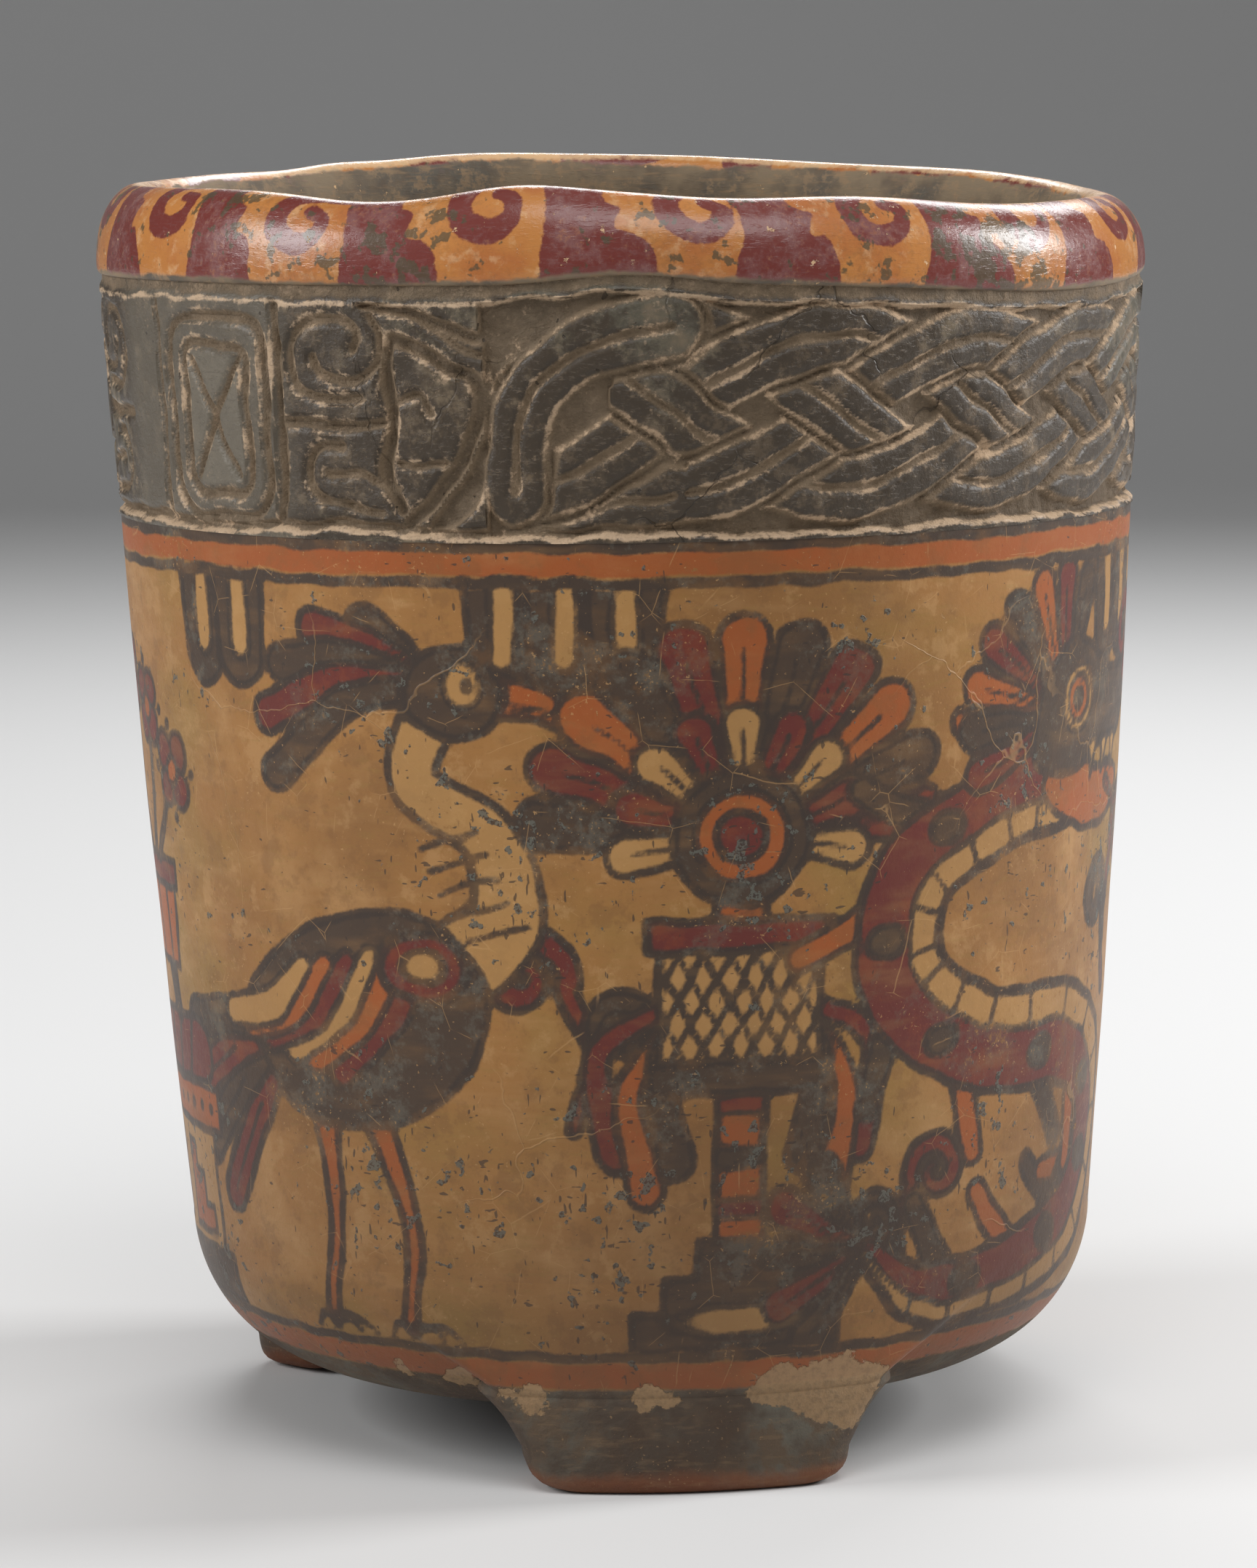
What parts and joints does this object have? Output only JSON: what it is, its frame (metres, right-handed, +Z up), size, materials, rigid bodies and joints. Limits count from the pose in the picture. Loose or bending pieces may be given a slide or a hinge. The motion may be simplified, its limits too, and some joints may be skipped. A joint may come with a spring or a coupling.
{
  "type": "tripod cylinder vessel",
  "caption": "Fired clay cylinder vessel with a rolled rim, a carved plait band, a painted wall and three slab feet.",
  "frame": {"origin": "on the standing surface, on the vessel's axis", "axes": "+Z up along the vessel's axis, -Y towards the front foot"},
  "size_m": [0.1436, 0.1436, 0.1702],
  "materials": {
    "floor_disc": "fired clay, worn slip in brown and orange-red with dark lines",
    "painted_wall": "burnished ochre slip with black, maroon and orange painting, worn satin",
    "carved_band": "dark brown burnished slip over carving, tan where it is cut or rubbed",
    "rim_coil": "glossy burnished orange-brown slip with dark maroon painting",
    "foot": "bare worn clay, grey-brown with tan rubbed places"
  },
  "bodies": {
    "root": {"floor_disc": "floor_disc", "painted_wall": "painted_wall", "carved_band": "carved_band", "rim_coil": "rim_coil", "foot_front": "foot", "foot_back_right": "foot", "foot_back_left": "foot"}
  },
  "joints": []
}
